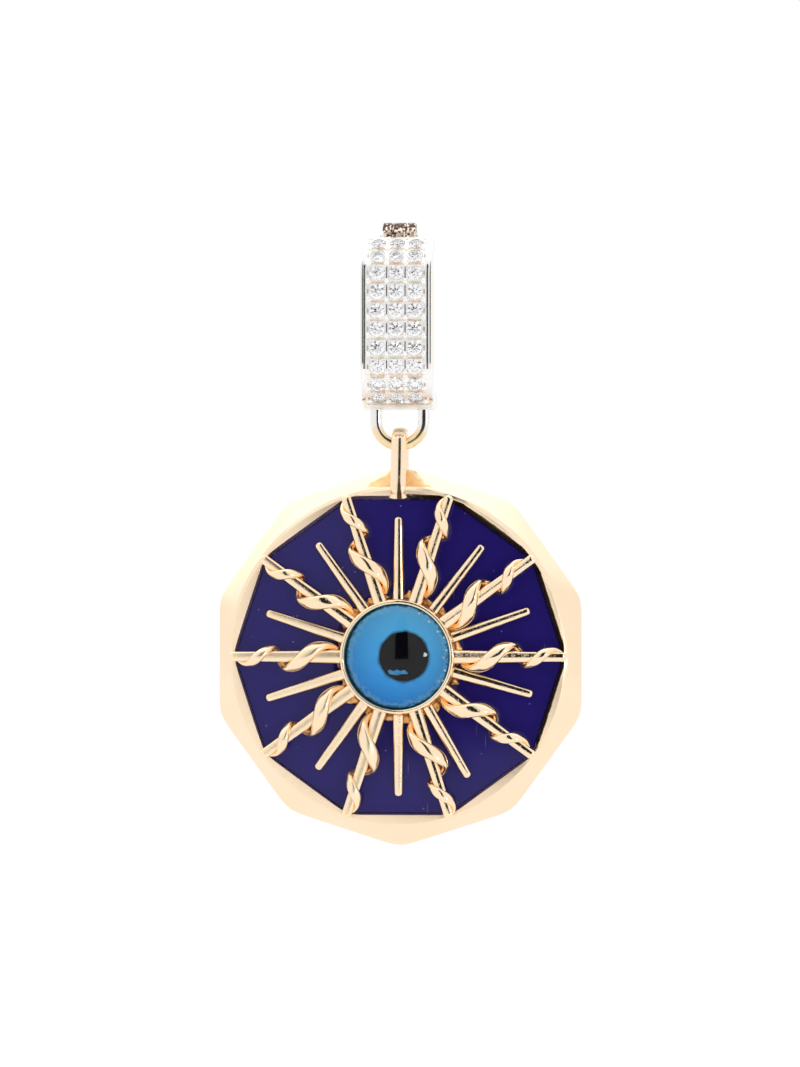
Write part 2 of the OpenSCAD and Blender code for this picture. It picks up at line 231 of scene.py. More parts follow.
def turned_tree():
    """A profile turned round Z. Its points are (radius, height). Their attributes give a fillet, the polygon
    that they follow, how far they sink over the inner corners, and their share of the shift and lean. Outer
    has its flats at the sides of the case, inner lies half a side on, and rim has twice as many."""
    tree, given = new_tree("Turned profile", {
        "Steps": ("Int", 480),
        "Fillet steps": ("Int", 6),
        "Sides": ("Int", SIDES),
        "Sharpness": ("Float", 90.0),
        "Shift": ("Vector", None),
        "Lean": ("Vector", None),
        "Material": ("Material", None),
    })
    soft_polygon = soft_polygon_tree()
    read = {
        name: add(tree, "GeometryNodeInputNamedAttribute", {"Name": name}, data_type="FLOAT")
        for name in ("fillet", "outer", "inner", "rim", "sink", "shift")
    }
    curve = add(tree, "GeometryNodeMeshToCurve", {"Mesh": given["Geometry"]})
    rounded = add(tree, "GeometryNodeFilletCurve", {
        "Curve": curve, "Count": given["Fillet steps"], "Radius": read["fillet"], "Limit Radius": True,
    }, mode="POLY")
    line = add(tree, "GeometryNodeCurvePrimitiveLine", {"End": (0, 0, 2 * math.pi)})
    points = add(tree, "Math", [given["Steps"], 1.0], operation="ADD")
    path = add(tree, "GeometryNodeResampleCurve", {"Curve": line, "Count": points})
    sheet = add(tree, "GeometryNodeCurveToMesh", {"Curve": path, "Profile Curve": rounded})
    place = add(tree, "SeparateXYZ", [add(tree, "GeometryNodeInputPosition")])
    angle = place.outputs["Z"]
    step = add(tree, "Math", [2 * math.pi, given["Sides"]], operation="DIVIDE")
    reach, more = 1.0, {}
    for shape, start, share in (("outer", 0.0, 1.0), ("inner", 0.5, 1.0), ("rim", 0.0, 0.5)):
        own_step = add(tree, "Math", [step, share], operation="MULTIPLY")
        own_angle = add(tree, "Math", [step, start, angle], operation="MULTIPLY_ADD")
        polygon = add(tree, "GeometryNodeGroup", {
            "Angle": own_angle, "Step": own_step, "Sharpness": given["Sharpness"],
        }, node_tree=soft_polygon)
        more[shape] = add(tree, "Math", [polygon, 1.0], operation="SUBTRACT")
        reach = add(tree, "Math", [read[shape], more[shape], reach], operation="MULTIPLY_ADD")
    radius = add(tree, "Math", [place.outputs["X"], reach], operation="MULTIPLY")
    height = add(tree, "Math", [read["sink"], more["inner"], place.outputs["Y"]], operation="MULTIPLY_ADD")
    flat = []
    for operation in ("COSINE", "SINE"):
        way = add(tree, "Math", [angle], operation=operation)
        flat.append(add(tree, "Math", [way, radius], operation="MULTIPLY"))
    round_it = add(tree, "CombineXYZ", flat + [height])
    rise = add(tree, "VectorMath", [round_it, given["Lean"]], operation="DOT_PRODUCT")
    up = add(tree, "CombineXYZ", {"Z": rise})
    moved = add(tree, "VectorMath", [given["Shift"], up], operation="ADD")
    aside = add(tree, "VectorMath", [moved, read["shift"]], operation="MULTIPLY")
    body = add(tree, "GeometryNodeSetPosition", {"Geometry": sheet, "Position": round_it, "Offset": aside})
    closed = add(tree, "GeometryNodeMergeByDistance", {"Geometry": body, "Distance": 0.0005})
    return end_tree(tree, closed, given)


def swept_tree():
    """A bar or wire swept along each path. Its section is an oval that squares up as its roundness falls
    from 1 to 0. A path's points carry their size and the way that the bar's side looks."""
    tree, given = new_tree("Swept bar", {
        "Width": ("Float", 1.0),
        "Thickness": ("Float", 1.0),
        "Roundness": ("Float", 1.0),
        "Section steps": ("Int", 32),
        "Material": ("Material", None),
    })
    curve = add(tree, "GeometryNodeMeshToCurve", {"Mesh": given["Geometry"]})
    side = add(tree, "GeometryNodeInputNamedAttribute", {"Name": "side"}, data_type="FLOAT_VECTOR")
    size = add(tree, "GeometryNodeInputNamedAttribute", {"Name": "size"}, data_type="FLOAT")
    faced = add(tree, "GeometryNodeSetCurveNormal", {"Curve": curve, "Normal": side}, mode="FREE")
    circle = add(tree, "GeometryNodeCurvePrimitiveCircle", {"Resolution": given["Section steps"]})
    place = add(tree, "SeparateXYZ", [add(tree, "GeometryNodeInputPosition")])
    across = {}
    for axis, whole in (("X", "Width"), ("Y", "Thickness")):
        out = add(tree, "Math", [place.outputs[axis]], operation="ABSOLUTE")
        squared = add(tree, "Math", [out, given["Roundness"]], operation="POWER")
        sign = add(tree, "Math", [place.outputs[axis]], operation="SIGN")
        signed = add(tree, "Math", [squared, sign], operation="MULTIPLY")
        half = add(tree, "Math", [given[whole], 0.5], operation="MULTIPLY")
        across[axis] = add(tree, "Math", [signed, half], operation="MULTIPLY")
    section = add(tree, "CombineXYZ", across)
    oval = add(tree, "GeometryNodeSetPosition", {"Geometry": circle, "Position": section})
    bar = add(tree, "GeometryNodeCurveToMesh",
              {"Curve": faced, "Profile Curve": oval, "Scale": size, "Fill Caps": True})
    return end_tree(tree, bar, given)


def set_tree():
    """A shape set at every point, tipped over by the point's lean and turned at random about its axis."""
    tree, given = new_tree("Set on points", {
        "Shape": ("Object", None),
        "Turn": ("Float", 0.0),
        "Tip": ("Float", 0.0),
        "Seed": ("Int", 1),
        "Material": ("Material", None),
    })
    lean = add(tree, "GeometryNodeInputNamedAttribute", {"Name": "lean"}, data_type="FLOAT")
    tipped = add(tree, "FunctionNodeEulerToRotation", [add(tree, "CombineXYZ", {"X": lean})])
    shape = add(tree, "GeometryNodeObjectInfo", {"Object": given["Shape"]})
    placed = add(tree, "GeometryNodeInstanceOnPoints", {
        "Points": given["Geometry"], "Instance": shape.outputs["Geometry"], "Rotation": tipped,
    })
    tip_low = add(tree, "Math", [given["Tip"], -1.0], operation="MULTIPLY")
    low = add(tree, "CombineXYZ", [tip_low, tip_low])
    high = add(tree, "CombineXYZ", [given["Tip"], given["Tip"], given["Turn"]])
    chance = add(tree, "FunctionNodeRandomValue", {0: low, 1: high, "Seed": given["Seed"]},
                 data_type="FLOAT_VECTOR")
    settled = add(tree, "GeometryNodeRotateInstances",
                  {"Instances": placed, "Rotation": chance, "Local Space": True})
    return end_tree(tree, settled, given)


TURNED = turned_tree()
SWEPT = swept_tree()
SET = set_tree()


# Meshes
def points_object(chains, **values):
    """A mesh of chains of points, with a value or vector for each point under each name."""
    flat = [tuple(point) for chain in chains for point in chain]
    edges, first = [], 0
    for chain in chains:
        edges += [(first + i, first + i + 1) for i in range(len(chain) - 1)]
        first += len(chain)
    mesh = bpy.data.meshes.new("points")
    mesh.from_pydata(flat, edges, [])
    for name, rows in values.items():
        rows = [row for chain in rows for row in chain]
        vector = hasattr(rows[0], "__len__")
        attribute = mesh.attributes.new(name, "FLOAT_VECTOR" if vector else "FLOAT", "POINT")
        attribute.data.foreach_set("vector" if vector else "value", np.array(rows, np.float32).ravel())
    return bpy.data.objects.new("points", mesh)


def grown(source, tree, **sizes):
    """The mesh that a tree makes of a source object. The modifier is taken off with its object."""
    bpy.context.scene.collection.objects.link(source)
    modifier = source.modifiers.new("grow", "NODES")
    modifier.node_group = tree
    for item in tree.interface.items_tree:
        name = item.name.replace(" ", "_").lower()
        if item.in_out == "INPUT" and name in sizes:
            modifier[item.identifier] = sizes.pop(name)
    assert not sizes, f"the tree has no input for {sizes}"
    mesh = bpy.data.meshes.new_from_object(source.evaluated_get(bpy.context.evaluated_depsgraph_get()))
    source.modifiers.remove(modifier)
    bpy.data.objects.remove(source)
    return mesh


def turned(rows, metal, **sizes):
    """Rows of (radius, height, fillet, shape, sink, shift, deep) turned round Z. Shape is round, outer, inner
    or rim, sink is how far a row lies lower over the inner corners, shift is its share of the shift and lean,
    and deep is how far down in the recess it counts as being, from 0 to 1. A row's end may be left out."""
    plain = (0.0, 0.0, 0.0, "round", 0.0, 0.0, 0.0)
    radii, heights, fillets, shapes, sinks, shifts, deeps = zip(*(row + plain[len(row):] for row in rows))
    corner = 1 / math.cos(turn / 2) - 1
    follows = {shape: [[float(own == shape) for own in shapes]] for shape in ("outer", "inner", "rim")}
    source = points_object(
        [list(zip(radii, heights, [0.0] * len(rows)))], fillet=[fillets],
        sink=[[-sink / corner for sink in sinks]], shift=[shifts], deep=[deeps], **follows)
    return grown(source, TURNED, material=metal, **sizes)


def swept(paths, metal, **form):
    """Bars along paths, each of which has points, widths, and the ways that the bar's side looks."""
    points, widths, sides = zip(*paths)
    return grown(points_object(points, size=widths, side=sides), SWEPT, material=metal, **form)


def set_down(places, form, metal, **sizes):
    """A form set at every place: a point and how far it is tipped over."""
    mesh = bpy.data.meshes.new("form")
    form.to_mesh(mesh)
    form.free()
    shape = bpy.data.objects.new("form", mesh)
    source = points_object([[point] for point, _ in places], lean=[[lean] for _, lean in places])
    made = grown(source, SET, shape=shape, material=metal, **sizes)
    bpy.data.objects.remove(shape)
    return made


def smooth_path(rows, count):
    """Points along a Catmull-Rom curve through rows of numbers, evenly in the rows' own parameter."""
    rows = np.array(rows, float)
    ends = np.vstack([2 * rows[0] - rows[1], rows, 2 * rows[-1] - rows[-2]])
    points = []
    for t in np.linspace(0, len(rows) - 1, count):
        i = min(int(t), len(rows) - 2)
        u = t - i
        a, b, c, d = ends[i:i + 4]
        square, cube = 2 * a - 5 * b + 4 * c - d, 3 * b - a - 3 * c + d
        points.append(0.5 * (2 * b + (c - a) * u + square * u ** 2 + cube * u ** 3))
    return np.array(points)


def piece(name, meshes, place, body, slot, *nodes, smooth=40):
    """Joins meshes into one finished piece in its place, which rides on a body and stands for its nodes.
    Edges sharper than the smooth angle stay crisp, and large faces keep flat shading beside small ones."""
    whole = bmesh.new()
    materials = []
    for mesh in meshes:
        part = bmesh.new()
        part.from_mesh(mesh)
        bmesh.ops.remove_doubles(part, verts=part.verts, dist=0.0002)
        bmesh.ops.recalc_face_normals(part, faces=part.faces)
        for face in part.faces:
            material = mesh.materials[face.material_index]
            if material not in materials:
                materials.append(material)
            face.material_index = materials.index(material)
        part.to_mesh(mesh)
        part.free()
        whole.from_mesh(mesh)
    result = bpy.data.meshes.new(name)
    whole.to_mesh(result)
    whole.free()
    for material in materials:
        result.materials.append(material)
    result.transform(place)
    made = bpy.data.objects.new(name, result)
    bpy.context.scene.collection.objects.link(made)
    if smooth:
        result.set_sharp_from_angle(angle=math.radians(smooth))
        even = made.modifiers.new("even", "WEIGHTED_NORMAL")
        even.keep_sharp = True
        made.data = bpy.data.meshes.new_from_object(
            made.evaluated_get(bpy.context.evaluated_depsgraph_get()))
        made.modifiers.clear()
    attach(made, body)
    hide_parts(*nodes)
    return made


# Materials
def new_material(name):
    """A material, its tree, and the place on its piece in millimetres."""
    made = bpy.data.materials.new(name)
    made.use_nodes = True
    tree = made.node_tree
    tree.nodes.clear()
    metres = add(tree, "TexCoord").outputs["Object"]
    return made, tree, add(tree, "VectorMath", [metres, (1 / MM,) * 3], operation="MULTIPLY")


def surface(made, inputs, *reliefs):
    """Ends a material. Each relief is a height and its depth in millimetres, and lies over the one before."""
    tree = made.node_tree
    for height, depth in reliefs:
        under = {"Normal": inputs["Normal"]} if "Normal" in inputs else {}
        relief = {"Height": height, "Distance": depth * MM, "Strength": 1.0}
        inputs["Normal"] = add(tree, "Bump", relief | under)
    add(tree, "OutputMaterial", {"Surface": add(tree, "BsdfPrincipled", inputs)})
    return made


def where_all(tree, *bounds):
    """Where all bounds hold. A bound is a mask, or a value with where it starts and where it is full."""
    masks = [add(tree, "MapRange", bound) if isinstance(bound, tuple) else bound for bound in bounds]
    whole = masks[0]
    for mask in masks[1:]:
        whole = add(tree, "Math", [whole, mask], operation="MULTIPLY")
    return whole


def layered(tree, base, *layers):
    """A colour with others laid over it in turn, each where its bound holds."""
    for bound, colour in layers:
        under, over = (linear(tint) if isinstance(tint, str) else tint for tint in (base, colour))
        base = add(tree, "Mix", [where_all(tree, bound), under, over], data_type="RGBA")
    return base


def clouded(name, patch, detail, low, high, inputs, *depths):
    """A material whose colour drifts from one shade to another over patches of a width in millimetres."""
    made, tree, place = new_material(name)
    tone = add(tree, "TexNoise", {"Vector": place, "Scale": 1 / patch, "Detail": detail})
    inputs = inputs | {"Base Color": layered(tree, low, (tone, high))}
    return surface(made, inputs, *((tone, depth) for depth in depths))


def frayed(tree, value, place, patch, detail, reach):
    """A value whose level lines wander by up to a reach, over patches of a width in millimetres."""
    cloud = add(tree, "TexNoise", {"Vector": place, "Scale": 1 / patch, "Detail": detail})
    return add(tree, "Math", [cloud, reach, value], operation="MULTIPLY_ADD")


def from_middle(tree, place):
    """The place seen from the middle of the eye, the same without depth, and its distance from the axis."""
    centred = add(tree, "Mapping", {"Vector": place, "Location": (0, 0, -case_z)})
    flat = add(tree, "VectorMath", [centred, (1, 0, 1)], operation="MULTIPLY")
    return centred, flat, add(tree, "VectorMath", [flat], operation="LENGTH")


def wall_mask(tree, place):
    """The wall of the recess, from its ledge down to the floor."""
    away = from_middle(tree, place)[2]
    depth = add(tree, "SeparateXYZ", [place]).outputs["Y"]
    front = add(tree, "Math", [depth, back_y - BACK_T], operation="LESS_THAN")
    return where_all(tree, front, (away, rim_r + 0.08, rim_r - 0.02))


def wall_reflection_mask(tree, place, wall):
    """Painted dark reflection in the wall of the recess, from its top round to its right side."""
    flat = from_middle(tree, place)[1]
    way = add(tree, "VectorMath", [flat], operation="NORMALIZE")
    aside = add(tree, "VectorMath", [way, (0.88, 0.0, 0.47)], operation="DOT_PRODUCT")
    aside = frayed(tree, aside, place, 0.35, 4.0, 0.35)
    deep = add(tree, "Attribute", attribute_name="deep").outputs["Fac"]
    upwards = add(tree, "VectorMath", [way, (0.5, 0.0, 0.87)], operation="DOT_PRODUCT")
    more = add(tree, "MapRange", [upwards, 0.75, 0.95, 0.0, 0.06])
    level = add(tree, "Math", [frayed(tree, deep, place, 0.35, 4.0, 0.1), more], operation="ADD")
    return where_all(tree, wall, (aside, 0.62, 0.72), (level, 0.3, 0.34))


def ring_top_dark_mask(tree, place):
    """A thin dark band painted on top of the ring, beside the loop."""
    height = add(tree, "SeparateXYZ", [place]).outputs["Z"]
    level = frayed(tree, height, place, 0.3, 3.0, 0.3)
    return where_all(tree, (level, swing_z + 0.98, swing_z + 1.08, 0.0, 0.4),
                     (height, swing_z + 1.5, swing_z + 1.4))


def foot_reflection_mask(tree, place):
    """A painted dark reflection of the enamel and the wall: a wedge up the front of the ring's foot, widest
    at the enamel and a little right of the middle.
    """
    foot_z = case_z + rim_r
    enamel_y = back_y - inlay_top
    axes = add(tree, "SeparateXYZ", [place]).outputs
    aside = add(tree, "Math", [axes["X"], 0.1], operation="SUBTRACT")
    ragged = frayed(tree, add(tree, "Math", [aside], operation="ABSOLUTE"), place, 0.3, 3.0, 0.06)
    half_w = add(tree, "MapRange", [axes["Z"], foot_z + 1.2, foot_z - 0.5, 0.03, 0.2])
    share = add(tree, "Math", [ragged, half_w], operation="DIVIDE")
    return where_all(
        tree, (share, 1.15, 0.85), (axes["Y"], enamel_y - 0.1, enamel_y - 0.2),
        (axes["Z"], foot_z + 1.0, foot_z + 0.7), (axes["Z"], foot_z - 1.3, foot_z - 1.2))


def shaded_facet_mask(tree, place):
    """The facet behind the ring, rough and painted with orange shade: a triangle with its tip upwards."""
    axes = add(tree, "SeparateXYZ", [from_middle(tree, place)[0]]).outputs
    aside = add(tree, "Math", [axes["X"]], operation="ABSOLUTE")
    share = add(tree, "Math", [aside, 2.3], operation="DIVIDE")
    up = add(tree, "MapRange", [axes["Z"], rim_r + 0.15, rim_r + 1.6], clamp=False)
    total = frayed(tree, add(tree, "Math", [share, up], operation="ADD"), place, 0.5, 2.0, 0.3)
    return where_all(
        tree, (total, 1.2, 1.05), (up, -0.02, 0.02), (axes["Y"], back_y - BACK_BEVEL, back_y - SIDE_TOP),
        (axes["Y"], back_y - rim_z + 0.1, back_y - rim_z + 0.2))


def case_wear_and_shade(tree, place, haze):
    """The wall of the recess is brushed. A dark reflection is painted on its upper right and up the ring's
    foot, with a dark band on top of the ring, and the facet behind the ring is rough with painted orange
    shade.
    """
    wall = wall_mask(tree, place)
    painted_dark = wall_reflection_mask(tree, place, wall)
    for mask in (ring_top_dark_mask(tree, place), foot_reflection_mask(tree, place)):
        painted_dark = add(tree, "Math", [painted_dark, mask], operation="MAXIMUM")
    shaded_facet = shaded_facet_mask(tree, place)
    # Colours of the painted dark reflection and of the painted orange shade
    painted_dark_tone = layered(tree, "2a2014", (haze, "6c5838"))
    orange_shade_tone = layered(tree, "e6a05c", (haze, "ffe8b4"))
    return (wall, None, 0.34), (painted_dark, painted_dark_tone, 0.5), (shaded_facet, orange_shade_tone, 0.4)


def ray_wear(tree, place, haze):
    """The rays at the lower left are matt."""
    lower_left = add(tree, "VectorMath", [from_middle(tree, place)[0], (-0.85, 0.0, -0.53)],
                     operation="DOT_PRODUCT")
    return [((lower_left, 2.0, 4.5), None, 0.24)]


def gold(name, pale, deep, roughness, wear_and_shade, ripple, ripple_depth, pit_depth=0.0):
    """Cast yellow gold of 14 carats, polished: a pale peach mirror that turns orange where it sees itself.
    A slow ripple from the polishing wheel bends its reflections, and small casting pits break its dark lines.
    Wear and painted shade give rows of a bound, a colour if it has its own, and a roughness."""
    made, tree, place = new_material(name)
    tone = add(tree, "TexNoise", {"Vector": place, "Scale": 1 / 3, "Detail": 2.0})
    base = layered(tree, pale, (tone, deep))
    haze = add(tree, "TexNoise", {"Vector": place, "Scale": 1 / 0.5, "Detail": 4.0})
    rough = add(tree, "MapRange", [haze, 0.4, 0.75, roughness, 2 * roughness])
    for bound, colour, worn_roughness in wear_and_shade(tree, place, haze):
        mask = where_all(tree, bound)
        rough = add(tree, "Mix", [mask, rough, worn_roughness], data_type="FLOAT")
        if colour is not None:
            base = layered(tree, base, (mask, colour))
    wave = add(tree, "TexNoise", {"Vector": place, "Scale": 1 / ripple, "Detail": 1.0})
    pits = add(tree, "TexNoise", {"Vector": place, "Scale": 1 / 0.12, "Detail": 3.0})
    pits = add(tree, "MapRange", [pits, 0.3, 0.45])
    return surface(made, {"Base Color": base, "Metallic": 1.0, "Roughness": rough},
                   (wave, ripple_depth), (pits, pit_depth))


CASE_GOLD = gold("polished_yellow_gold", "fee8cc", "fde3c0", 0.09, case_wear_and_shade, 1.8, 0.003)
RAY_GOLD = gold("cast_yellow_gold", "ffebcf", "fde0b6", 0.04, ray_wear, 0.6, 0.0025, 0.0018)

# Gold solder left dull in the crevices round the cup: rough, and painted darker and redder as the shade there
SHADED_SOLDER = clouded("gold_solder", 0.4, 4.0, "fdc884", "b8783c", {"Metallic": 1.0, "Roughness": 0.32}, 0.02)

# Painted shade on the bail: the grey that darkens its grooves, lip and line cuts, the rails' bottom corners
# and the marks beside the stones
PAINTED_SHADE_GREY = "5c5054"


def rhodium():
    """White gold under bright rhodium plate: a cool grey mirror, worn through to yellow gold on the loop.
    Painted shade darkens it in the grooves and cuts of the band.
    """
    made, tree, place = new_material("rhodium_plated_gold")
    height = add(tree, "SeparateXYZ", [place]).outputs["Z"]
    level = frayed(tree, height, place, 0.5, 3.0, 0.9)
    worn = add(tree, "MapRange", [level, bottom_z - 0.4, bottom_z - 1.2], interpolation_type="SMOOTHSTEP")
    painted_shade = add(tree, "Attribute", attribute_name="painted_shade").outputs["Fac"]
    base = layered(tree, "f0efed", (worn, "f6dcb0"), (painted_shade, PAINTED_SHADE_GREY))
    grain = add(tree, "TexNoise", {"Vector": place, "Scale": 1 / 0.25, "Detail": 2.0})
    return surface(made, {"Base Color": base, "Metallic": 1.0, "Roughness": 0.1}, (grain, 0.002))


def knuckle():
    """Hinge knuckles: worn plate with brown tarnish in its grain and a few bright rubs, most of them low:
    painted shade darkens the knuckles towards the top.
    """
    made, tree, place = new_material("tarnished_white_gold")
    grain = add(tree, "TexNoise", {"Vector": place, "Scale": 1 / 0.22, "Detail": 3.0})
    height = add(tree, "SeparateXYZ", [place]).outputs["Z"]
    # Painted shade: fewer bright rubs towards the top
    low = add(tree, "MapRange", [height, hinge_z + 0.9, hinge_z - 0.1, -0.04, 0.16])
    level = add(tree, "Math", [grain, low], operation="ADD")
    base = layered(tree, "4c3e36", ((level, 0.52, 0.6), "fbe6d4"))
    return surface(made, {"Base Color": base, "Metallic": 1.0, "Roughness": 0.25}, (grain, 0.03))


def bright_cut():
    """The same plate between the stones: cut, beaded and too uneven to mirror, so it scatters white. Gold
    shows in the bow-shaped cuts between the rows, and is painted as a reflection where the band bends and at
    the rails' bottom corners. Painted shade darkens its cuts."""
    made, tree, place = new_material("bright_cut_white_gold")
    gold_showing, painted_shade = (
        add(tree, "Attribute", attribute_name=name).outputs["Fac"] for name in ("gold_showing", "painted_shade"))
    cuts = add(tree, "TexNoise", {"Vector": place, "Scale": 1 / 0.3, "Detail": 3.0})
    worn = add(tree, "TexNoise", {"Vector": place, "Scale": 1 / 1.5, "Detail": 2.0})
    bare = layered(tree, "e6b48a", ((worn, 0.4, 0.6), "e0d8b8"))
    base = layered(tree, "fbfaf8", ((where_all(tree, gold_showing, cuts), 0.18, 0.62), bare), (painted_shade, PAINTED_SHADE_GREY))
    return surface(made, {"Base Color": base, "Metallic": 1.0, "Roughness": 0.42}, (cuts, 0.03))


def enamel():
    """Vitreous enamel, fired and stoned flat: deep violet blue under a glassy gloss, with dust specks and
    a few hairline scratches."""
    made, tree, place = new_material("blue_vitreous_enamel")
    cloud = add(tree, "TexNoise", {"Vector": place, "Scale": 1 / 5, "Detail": 3.0})
    axes = add(tree, "SeparateXYZ", [place]).outputs
    face = add(tree, "CombineXYZ", [axes["X"], axes["Z"]])
    dots = add(tree, "TexVoronoi", {"Vector": face, "Scale": 1 / 1.7}, voronoi_dimensions="2D")
    dust = add(tree, "MapRange", [dots, 0.02, 0.04, 0.5, 0.0])
    drawn = add(tree, "Mapping", {"Vector": face, "Rotation": (0, 0, 0.5), "Scale": (1.0, 0.08, 1.0)})
    hairs = add(tree, "TexVoronoi", {"Vector": drawn, "Scale": 1 / 0.9}, voronoi_dimensions="2D")
    scratch = add(tree, "MapRange", [hairs, 0.02, 0.05, 0.22, 0.0])
    speck = add(tree, "Math", [dust, scratch], operation="MAXIMUM")
    region = add(tree, "TexNoise", {"Vector": face, "Scale": 1 / 2.5, "Detail": 1.0})
    specks = where_all(tree, speck, (region, 0.5, 0.62))
    base = layered(tree, "201666", (cloud, "281e6c"), (specks, "8a90b8"))
    wave = add(tree, "TexNoise", {"Vector": place, "Scale": 1 / 3, "Detail": 1.0})
    return surface(made, {"Base Color": base, "Roughness": 0.06, "Specular IOR Level": 0.25}, (wave, 0.004))


# Coloured glass that lies fused under the clear dome, so it has no gloss of its own
UNDER_GLASS = {"Roughness": 0.4, "Specular IOR Level": 0.0}


def iris_glass():
    """Opaque blue glass with painted light, lighter towards its upper right, a milky and a murky fringe, a
    blotched dark rim that is a painted dark reflection in the edge of the dome, a shade round the pupil, and
    painted glints near the rim on the right."""
    made, tree, place = new_material("blue_lampwork_glass")
    centred, flat, away = from_middle(tree, place)
    upwards = add(tree, "VectorMath", [centred, (0.35, 0.0, 0.94)], operation="DOT_PRODUCT")
    to_pupil = add(tree, "VectorMath", [flat, (-pupil_x, 0, 0)], operation="ADD")
    from_pupil = add(tree, "VectorMath", [to_pupil], operation="LENGTH")
    fringe = frayed(tree, away, place, 0.22, 4.0, 0.9)
    # Painted glints: white dots near the rim, on the right, where light sparkles in the edge of the dome
    axes = add(tree, "SeparateXYZ", [centred]).outputs
    face = add(tree, "CombineXYZ", [axes["X"], axes["Z"]])
    cells = add(tree, "TexVoronoi", {"Vector": face, "Scale": 1 / 0.5}, voronoi_dimensions="2D")
    right = add(tree, "VectorMath", [centred, (0.9, 0.0, 0.43)], operation="DOT_PRODUCT")
    lot = add(tree, "SeparateColor", [cells.outputs["Color"]])
    picked = add(tree, "Math", [lot, 0.45], operation="GREATER_THAN")
    glint = where_all(tree, picked, (cells, 0.17, 0.11), (away, 2.7, 2.75), (right, 1.0, 2.2))
    base = layered(
        tree, "1698f6",
        # Painted light: lighter towards the upper right
        ((frayed(tree, upwards, place, 0.5, 4.0, 2.0), -2.2, 4.2), "62ccff"),
        ((fringe, 3.2, 3.3, 0.0, 0.45), "8cd6f8"),
        ((fringe, 3.45, 3.55, 0.0, 0.7), "1c6e9c"),
        # Painted dark reflection in the edge of the dome
        ((frayed(tree, away, place, 0.5, 4.0, 0.2), 3.16, 3.26), "0c3c44"),
        ((frayed(tree, from_pupil, place, 0.5, 4.0, 0.25), 1.75, 1.55), "0a1420"),
        (glint, "f2ffff"),
    )
    return surface(made, {"Base Color": base} | UNDER_GLASS)


def dome_glass():
    """Clear glass, fire-polished: a smooth lens that reflects the tent over the eye."""
    made, tree, place = new_material("clear_dome_glass")
    wave = add(tree, "TexNoise", {"Vector": place, "Scale": 1 / 1.5, "Detail": 1.0})
    clear = {"Base Color": linear("ffffff"), "Transmission Weight": 1.0, "Roughness": 0.0, "IOR": 1.36}
    return surface(made, clear, (wave, 0.001))


def stone_glass():
    """White cubic zirconia, cut as a round brilliant: clear, with a high sparkle."""
    clear = {"Base Color": linear("fdfdff"), "Transmission Weight": 1.0, "Roughness": 0.0, "IOR": 2.15}
    return surface(new_material("white_cubic_zirconia")[0], clear)


RHODIUM = rhodium()
KNUCKLE = knuckle()
BRIGHT_CUT = bright_cut()
ENAMEL = enamel()
GLASS = dome_glass()
ZIRCONIA = stone_glass()
IRIS = iris_glass()
# Opaque white glass, slightly cloudy
BACKING = clouded("white_opal_glass", 0.6, 2.0, "f4f6f8", "fcfdff", UNDER_GLASS)
# The iris's blue where it has run thinly over the black: a little darker and cloudy
BLUE_RUN = clouded("thin_blue_glass", 0.4, 2.0, "1c5f94", "5cb8ee", UNDER_GLASS)
# Black glass with a violet cast
PUPIL = clouded("black_lampwork_glass", 1.0, 2.0, "08070c", "0e0c12", UNDER_GLASS)
# Matt white paper under the pendant
PAPER = clouded("white_paper", 2.0, 3.0, "eaeae9", "eeeeee", {"Roughness": 0.9})


# Case
def case_mesh():
    """Tray whose rim is worn round. A narrow ledge leads down to the wall of its recess, and the ledge lies a
    little lower at the left and over the corners."""
    rows = [
        (0, 0, 0, "outer"),
        (case_r - BACK_BEVEL, 0, 0.3, "outer"),
        (case_r, BACK_BEVEL, 0.25, "outer"),
        (case_r, SIDE_TOP, 0.35, "outer"),
        (rim_r + RIM_W, rim_z - 0.2, 0.25, "rim", 0.1),
        (rim_r, rim_z - 0.06, 0.04, "round", 0.2, 0.5),
        (wall_foot_r + LEDGE_W, rim_z - 0.03, 0.03, "inner", 0.27, -0.9, 0.3),
        (wall_foot_r, inlay_top + 0.02, 0, "inner", 0.0, 0.0, 1.0),
        (wall_foot_r, BACK_T, 0, "inner", 0.0, 0.0, 1.0),
        (0, BACK_T, 0, "inner"),
    ]
    return turned(rows, CASE_GOLD, sharpness=60.0, shift=(-0.09, -0.09, 0.0), lean=(0.0038, 0.0012, 0.0))


def ring_mesh():
    """The ring straddles the top of the case, and its feet widen into the metal. A row of its path is a
    depth, a height over the swing's axis and a share of its width."""
    r = LOOP_WIRE / 2 + RING_GAP + RING_T / 2
    foot = case_z + rim_r - swing_z
    front = back_y - rim_z
    rows = [(front + 0.3, foot - 0.45, 1.25), (front + 0.17, foot - 0.2, 1.07)]
    for t in (0, 0.3, 0.65):
        rows.append((mix(front + 0.02, -r, t), mix(foot + 0.1, -0.15, t), mix(1.02, 0.96, t)))
    rows += [(-r * math.cos(a), r * math.sin(a), 0.95) for a in np.linspace(0.15, math.pi, 9)]
    rows += [(back_y - 0.3, foot * 0.6, 1.0), (back_y - 0.35, foot - 0.9, 1.3)]
    path = smooth_path(rows, 90)
    points = [(0, y, swing_z + z) for y, z, _ in path]
    mesh = swept([(points, path[:, 2], [(1, 0, 0)] * len(points))], CASE_GOLD,
                 width=RING_W, thickness=RING_T, roundness=0.84)
    mesh.transform(PLACE_CASE.inverted() @ PLACE_BAIL)
    return mesh


piece("case", [case_mesh(), ring_mesh()], PLACE_CASE, "medallion", "yellow_gold", "case")


